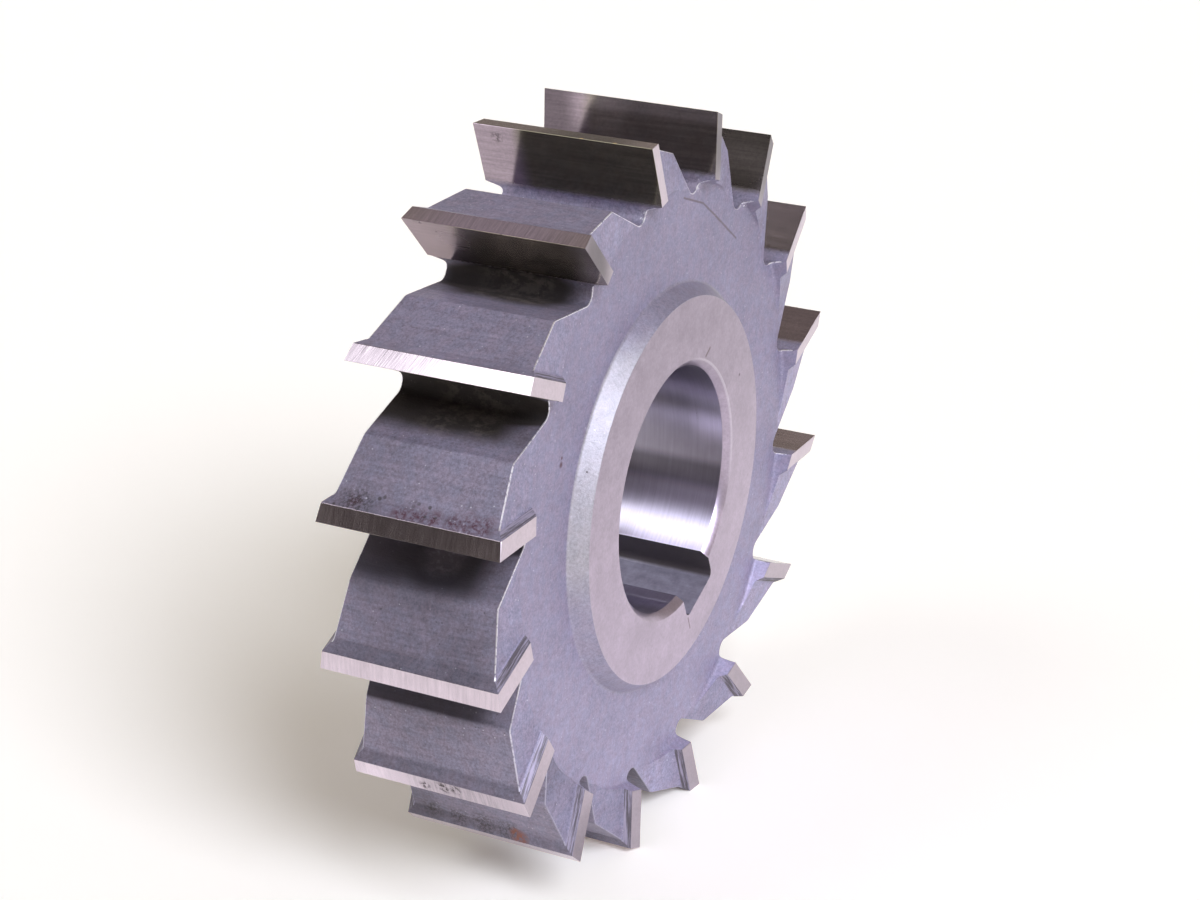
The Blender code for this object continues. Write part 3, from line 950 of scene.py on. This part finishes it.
def hub_face_finish(colours):
    """Surface-ground hub face with faint clouds, painted shade towards the top, a painted highlight line and
    a painted glint by the bore, and two short scratches.
    """
    finish = Finish("ground_hub_face")
    colour, lines = ground_skin(finish, colours.hub_face, (3.2, 3.2, 3.2), 0.3)
    cloud = finish.noise(finish.point, 0.45, 4.0, 0.65)
    # Painted shade: the hub face is darker towards the top and lighter towards the bench
    upwards = finish.z.fade(-12.0, 22.0)
    colour = finish.toned(colour, 1.06 - upwards * 0.32 + (cloud - 0.5) * 0.4)
    brown = finish.noise(finish.point, 0.17, 3.0).fade(0.45, 0.75)
    colour = finish.mixed(brown * 0.35, colour, finish.toned(colours.hub_face, 0.72))
    colour = finish.spotted(colour, DARK_SPOTS_ON_HUB, colours.soil_and_shade, 0.7)
    past_edge = finish.radius() - CHAMFER_EDGE
    # Painted highlights: a light ring along the chamfer's edge at the right, in the rubbed-edge colour, and a
    # glint low on it
    ring = past_edge.fade(-0.17, -0.05) * past_edge.fade(0.17, 0.05) * finish.x.fade(2.0, 7.0)
    colour = finish.mixed(ring * finish.z.fade(-6.0, 0.0) * 0.3, colour, colours.worn_edge)
    painted_glint = past_edge.fade(0.02, -0.03) * finish.z.fade(-5.5, -7.5) * finish.x.fade(2.0, 6.0)
    colour = finish.toned(colour, 1.0 + painted_glint * 0.6)
    scratch = finish.streaks(HUB_TICK, 0.22) + finish.streaks(KEYWAY_CORNER_SCRATCH, 0.14)
    colour = finish.mixed(scratch * 0.7, colour, colours.scratch)
    return finish.surface(colour, 0.30 + lines * 0.08, 1.0, finish.bumped(lines - scratch * 0.5, 0.006))


def bore_finish(colours):
    """Honed bore with lines around it, which spread every reflection along the bore, and painted reflection
    in bands around it, lighter towards the near end.
    """
    finish = Finish("honed_bore")
    colour, lines = ground_skin(finish, colours.bore, (0.12, 4.0, 0.12), 0.22)
    around = finish.direction()
    # Painted reflection: the bore's colour is lighter towards the near end and set in darker and brighter
    # bands around it
    right = finish.x.fade(-4.0, 4.0)
    left_of_keyway = around.fade(-74.0, -82.0) * around.fade(-130.0, -118.0)
    film = around.fade(-46.0, -25.0) * right + left_of_keyway * 0.8
    dark = around.fade(-6.0, -12.0) * around.fade(-25.0, -18.0) * 0.43
    bright = around.fade(-2.0, 8.0) * around.fade(34.0, 20.0) * finish.y.fade(-3.8, -8.0) * 0.6
    rise = around.fade(24.0, 36.0) * 0.13 + bright
    near_end = finish.y.fade(3.0, -5.0)
    tone = 1.3 + near_end * 0.55
    colour = finish.toned(colour, tone - film * (tone - 0.80) - (dark - rise) * film)
    finish.feed(finish.shader.inputs["Anisotropic"], 0.9)
    rough = 0.25 + lines * 0.10 + near_end * (1.0 - film) * 0.2
    return finish.surface(colour, rough, 1.0, finish.bumped(lines, 0.012))


def land_finish(colours):
    """Ground lands with fine lines across them, dull at one end of a land, pits in another, and painted
    reflection lighter, darker and bluer in places.
    """
    finish = Finish("ground_land")
    colour, lines = ground_skin(finish, colours.land, (0.3, 3.2, 0.3), 0.34)
    around = finish.direction()
    streaky = around.fade(134.0, 140.0) * around.fade(158.0, 152.0) * finish.y.fade(-9.0, 6.0)
    slant = finish.vector(0.0, finish.y * 8.0 + finish.z * 4.0, finish.radius() * 1.5)
    slanted = finish.noise(slant, 1.0, 3.0, 0.7)
    colour = finish.toned(colour, 1.0 - streaky * (0.46 + (slanted - 0.5) * 1.15))
    # Painted reflection: patches of painted sheen and shade, one bluer land and one darker land
    colour = finish.toned(colour, 1.0 + finish.summed(PAINTED_SHEEN_AND_SHADE_ON_LANDS))
    colour = finish.mixed(finish.near(*PAINTED_BLUE_REFLECTION_ON_LAND), colour, finish.stretched(colour, 1.12, 1.12, 1.38))
    dull = finish.patches(DULL_LANDS, lines, 0.25, 0.75)
    colour = finish.mixed(dull * 0.8, colour, finish.toned(colours.land, 0.4))
    colour = finish.toned(colour, 1.0 - finish.near(*PAINTED_DARK_REFLECTION_ON_LAND) * 0.64)
    specks = finish.patches(SPECKS_ON_EDGE, lines, -0.5, 0.1)
    colour = finish.mixed(specks * 0.9, colour, BROWN_SPECK)
    blotch = finish.noise(finish.point, 2.4, 4.0, 0.7)
    pits = finish.patches(PITS_ON_LAND, blotch, 0.42, 0.56)
    colour = finish.mixed(pits * 0.85, colour, colours.soil_and_shade)
    rough = 0.16 + lines * 0.1 + pits * 0.3
    return finish.surface(colour, rough, 1.0 - specks * 0.8, finish.bumped(lines - pits, 0.004))


def rake_finish(colours):
    """Finely ground cutting faces with lines along the tooth, pits, and a blasted foot by the gullet, with
    painted reflection darker over their near part, painted sheen and shade in patches, and painted gullet
    shade at the foot of the left teeth.
    """
    finish = Finish("ground_rake")
    x, y = finish.x, finish.y
    front = x.fade(-11.0, -17.0)
    near_part = y.fade(6.0, 3.8)
    # Painted reflection: the near part of each cutting face is darkened, like the dark tooth back it mirrors,
    # less so towards the right
    weaker_to_right = x.fade(-3.0, 6.0) * 0.2 + x.fade(16.0, 36.0) * 0.72
    film = near_part * x.fade(-17.0, -11.0) * (1.0 - weaker_to_right)
    with_painted_reflection = finish.mixed(film, colours.rake, colours.rake_painted_dark_reflection)
    colour, lines = ground_skin(finish, with_painted_reflection, (3.6, 0.09, 3.6), 0.42 - front * 0.27)
    grain = finish.noise(finish.point, 3.0, 3.0, 0.8)
    colour = finish.toned(colour, 1.0 + (grain - 0.5) * (0.6 - front * 0.5))
    yellowed = finish.stretched(colour, 1.05, 1.12, 0.84)
    colour = finish.mixed(front * y.fade(5.5, 2.5), colour, yellowed)
    # Painted sheen and shade in patches
    colour = finish.toned(colour, 1.0 + finish.summed(PAINTED_SHEEN_AND_SHADE_ON_RAKES))
    pits = finish.grains(0.9, 0.12, 0.16)
    blotch = finish.noise(finish.point, 2.4, 4.0, 0.7)
    worn = finish.patches(PITS_ON_RAKES, blotch, 0.42, 0.56)
    colour = finish.mixed(pits * 0.6, colour, colours.soil_and_shade)
    colour = finish.mixed(worn * 0.7, colour, colours.soil_and_shade)
    foot_colour, foot_rough, bite = blasted_skin(finish, colours.back, colours)
    # Painted shade: the foot of the left teeth takes the dark gullet shade colour
    dark = x.fade(-3.0, -12.0)
    foot_colour = finish.mixed(dark * 0.95, foot_colour, colours.gullet)
    lift = x * 0.03 + x.fade(-19.0, -23.0) * 2.0
    foot = (finish.radius() - lift + (grain - 0.5) * 0.5).fade(32.0, 31.2)
    colour = finish.mixed(foot, colour, foot_colour)
    smooth = 0.12 + lines * 0.06 + worn * 0.2 + finish.summed(ROUGH_ON_RAKES)
    rough = smooth + (foot_rough - smooth) * foot + foot * dark * 0.3
    metallic = RAKE_METALLIC - foot * (RAKE_METALLIC - BLASTED_METALLIC) + foot * dark * 0.5
    normal = finish.bumped(lines * 0.01 * (1.0 - foot) + bite * foot, 0.04)
    return finish.surface(colour, rough, metallic, normal)


def side_land_finish(colours):
    """Ground side lands, with painted shade low down on the cutter and in two patches."""
    finish = Finish("ground_side_land")
    colour, lines = ground_skin(finish, colours.land, (3.6, 0.8, 3.6), 0.2)
    # Painted shade: the side lands are darker low down on the cutter and in two patches
    low = finish.z.fade(-5.0, -36.0)
    dull = finish.patches(DULL_SIDE_LANDS, lines, -0.5, 0.2)
    colour = finish.toned(colour, 1.0 - low * 0.34 - dull * 0.72 + finish.summed(PAINTED_SHADE_ON_SIDE_LANDS))
    return finish.surface(colour, 0.26 + lines * 0.08, 1.0, finish.bumped(lines, 0.003))


def side_shoulder_finish(colours):
    """Milled shoulders behind the side lands, with dark and bright lines along them."""
    finish = Finish("milled_shoulder")
    colour, lines = ground_skin(finish, colours.back, (0.25, 6.0, 0.25), 0.5)
    dark = lines.fade(0.60, 0.42)
    colour = finish.mixed(dark * 0.75, colour, colours.soil_and_shade)
    return finish.surface(colour, 0.5, 0.3, finish.bumped(lines, 0.03))


def keyway_finish(colours):
    """Broached keyway: a mottled grey floor between two walls darkened with painted shade."""
    finish = Finish("broached_keyway")
    colour, lines = ground_skin(finish, colours.keyway, (2.5, 0.15, 2.5), 0.25)
    cloud = finish.noise(finish.point, 0.7, 4.0, 0.7)
    turn = math.radians(KEYWAY_DIRECTION)
    across = finish.z * math.cos(turn) - finish.x * math.sin(turn)
    # Painted shade: both walls take the dark soil colour
    wall = across.maths("ABSOLUTE").fade(2.45, 3.0)
    colour = finish.toned(colour, 0.42 + cloud)
    colour = finish.mixed(wall * 0.93, colour, colours.soil_and_shade)
    return finish.surface(colour, 0.38 + lines * 0.1, 0.55 - wall * 0.3, finish.bumped(lines + cloud, 0.012))


def worn_edge_finish(colours):
    """Bright rubbed edges, with painted shade making them duller low down on the cutter."""
    finish = Finish("worn_edge")
    wear = finish.noise(finish.point, 2.2, 4.0, 0.75)
    # Painted shade: the edges are dimmer low down on the cutter
    high = finish.z.fade(-26.0, -2.0)
    strength = wear.fade(0.36, 0.50) * (0.2 + high * 0.8)
    colour = finish.mixed(strength, finish.toned(colours.flank, 0.9), colours.worn_edge)
    return finish.surface(colour, 0.5 - strength * 0.2, 0.45 + strength * 0.5)


def all_finishes(colours):
    """Make the finishes in the order of the surfaces."""
    makers = (
        web_finish, hub_face_finish, bore_finish, land_finish, rake_finish, back_finish,
        side_land_finish, side_shoulder_finish, flank_finish, keyway_finish, worn_edge_finish,
    )
    return [maker(colours) for maker in makers]


# Bench, lamps and camera

def bench_mesh(reach, rise, height):
    """Round bench top whose rim sweeps up, out of the camera's view."""
    profile = [(reach * 0.1, 0.0), (reach * 0.5, 0.0)]
    for step in range(BENCH_RIM_STEPS + 1):
        turn = math.pi / 2 * step / BENCH_RIM_STEPS
        profile.append((reach + rise * math.sin(turn), rise * (1.0 - math.cos(turn))))
    bench = bmesh.new()
    centre = bench.verts.new((0.0, 0.0, height))
    rings = []
    for radius, lift in profile:
        rings.append([
            bench.verts.new((radius * math.cos(turn), radius * math.sin(turn), height + lift))
            for turn in (math.tau * step / BENCH_FLATS for step in range(BENCH_FLATS))])
    for step in range(BENCH_FLATS):
        after = (step + 1) % BENCH_FLATS
        bench.faces.new((centre, rings[0][step], rings[0][after]))
        for inner, outer in zip(rings, rings[1:]):
            bench.faces.new((inner[step], outer[step], outer[after], inner[after]))
    mesh = bpy.data.meshes.new("bench")
    bench.to_mesh(mesh)
    bench.free()
    mesh.shade_smooth()
    return mesh


def bench_finish(colour):
    """Plain matt bench top that stays white behind the cutter."""
    finish = Finish("pale_bench")
    finish.feed(finish.shader.inputs["Specular IOR Level"], 0.1)
    finish.surface(colour, 0.9, 0.0)
    seen = strongest([
        finish.node("ShaderNodeLightPath", {}, {}, kind)
        for kind in ("Is Camera Ray", "Is Glossy Ray", "Is Transmission Ray")])
    glow = finish.node(
        "ShaderNodeEmission", {}, {"Color": BENCH_GLOW, "Strength": seen * BENCH_GLOW_STRENGTH})
    both = finish.node("ShaderNodeAddShader", {}, {0: Value(finish, finish.shader.outputs[0]), 1: glow})
    finish.feed(finish.tree.nodes["Material Output"].inputs["Surface"], both)
    return finish.material


def add_lamp(name, towards, strength, spread, colour):
    """Add a far soft lamp in a direction, with its apparent size."""
    light = bpy.data.lights.new(name, "SUN")
    light.energy = strength
    light.angle = math.radians(spread)
    light.color = colour
    lamp = bpy.data.objects.new(name, light)
    lamp.rotation_euler = Vector(towards).to_track_quat("Z", "Y").to_euler()
    lamp.location = Vector(towards).normalized()
    bpy.context.scene.collection.objects.link(lamp)


def add_room_light(strength):
    """Light the scene from all around, less from the side where the camera stands."""
    world = bpy.data.worlds.new("room")
    world.use_nodes = True
    room = NodeGraph(world.node_tree)
    background = room.tree.nodes["Background"]
    direction = room.node("ShaderNodeTexCoord", {}, {}, "Generated")
    across = room.node("ShaderNodeSeparateXYZ", {}, {0: direction}, "X")
    room.feed(background.inputs["Color"], ROOM_COLOUR)
    room.feed(background.inputs["Strength"], across * (strength * ROOM_SLOPE) + strength)
    bpy.context.scene.world = world


def add_camera(bench):
    """Set the camera at the photograph's viewing angle."""
    data = bpy.data.cameras.new("camera")
    data.lens = bench.lens
    data.sensor_width = 36.0
    data.sensor_fit = "HORIZONTAL"
    data.clip_start = 0.01
    data.clip_end = 20.0
    camera = bpy.data.objects.new("camera", data)
    bpy.context.scene.collection.objects.link(camera)
    place = Vector(bench.camera_place)
    aim = Vector(bench.camera_aim) - place
    turn = aim.to_track_quat("-Z", "Y").to_matrix() @ Matrix.Rotation(bench.camera_roll, 3, "Z")
    camera.matrix_world = Matrix.Translation(place) @ turn.to_4x4()
    bpy.context.scene.camera = camera


# Add-on

class BuildCutter(bpy.types.Operator):
    """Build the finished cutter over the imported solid"""

    bl_idname = "milling_cutter.build"
    bl_label = "Build cutter"

    def execute(self, context):
        scene = context.scene
        mesh = cut_cutter(scene.cutter_sizes, all_finishes(scene.cutter_colours))
        if len(mesh.polygons) == 0:
            raise RuntimeError("the cuts left nothing of the cutter")
        break_edges(mesh, scene.cutter_sizes)
        mesh = with_even_shading(mesh)
        draw_reflections_along_axis(mesh)
        cutter = bpy.data.objects.new(PIECE_NAME, mesh)
        scene.collection.objects.link(cutter)
        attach(cutter, "root")
        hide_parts(NODE_NAME)
        return {"FINISHED"}


class SetBench(bpy.types.Operator):
    """Set up the bench, the lamps and the camera"""

    bl_idname = "milling_cutter.bench"
    bl_label = "Set bench"

    def execute(self, context):
        bench = context.scene.cutter_bench
        floor = cad_box[0][2]
        top = bpy.data.objects.new("bench", bench_mesh(bench.bench_reach, bench.bench_rise, floor))
        top.data.materials.append(bench_finish(bench.bench_colour))
        context.scene.collection.objects.link(top)
        for name, towards, spread, colour in LAMPS:
            add_lamp(name, towards, getattr(bench, name), spread, colour)
        add_room_light(bench.room_light)
        add_camera(bench)
        context.scene.view_settings.view_transform = "Standard"
        return {"FINISHED"}


class CutterPanel(bpy.types.Panel):
    """Panel with the steps of building the cutter"""

    bl_idname = "VIEW3D_PT_milling_cutter"
    bl_label = "Side milling cutter"
    bl_space_type = "VIEW_3D"
    bl_region_type = "UI"
    bl_category = "Cutter"

    def draw(self, context):
        for step in STEPS:
            self.layout.operator(step.bl_idname)
        for group in (context.scene.cutter_sizes, context.scene.cutter_colours, context.scene.cutter_bench):
            box = self.layout.box()
            for name in group.__annotations__:
                box.prop(group, name)


STEPS = (BuildCutter, SetBench)
CLASSES = (CutterSizes, CutterColours, BenchSettings) + STEPS + (CutterPanel,)


def register():
    """Register the add-on's classes and settings."""
    for kind in CLASSES:
        bpy.utils.register_class(kind)
    bpy.types.Scene.cutter_sizes = PointerProperty(type=CutterSizes)
    bpy.types.Scene.cutter_colours = PointerProperty(type=CutterColours)
    bpy.types.Scene.cutter_bench = PointerProperty(type=BenchSettings)


def unregister():
    """Take the add-on's classes and settings away again."""
    del bpy.types.Scene.cutter_bench
    del bpy.types.Scene.cutter_colours
    del bpy.types.Scene.cutter_sizes
    for kind in reversed(CLASSES):
        bpy.utils.unregister_class(kind)


def main():
    """Build the cutter and its setting."""
    register()
    bpy.ops.milling_cutter.build()
    bpy.ops.milling_cutter.bench()


if __name__ == "__main__":
    main()
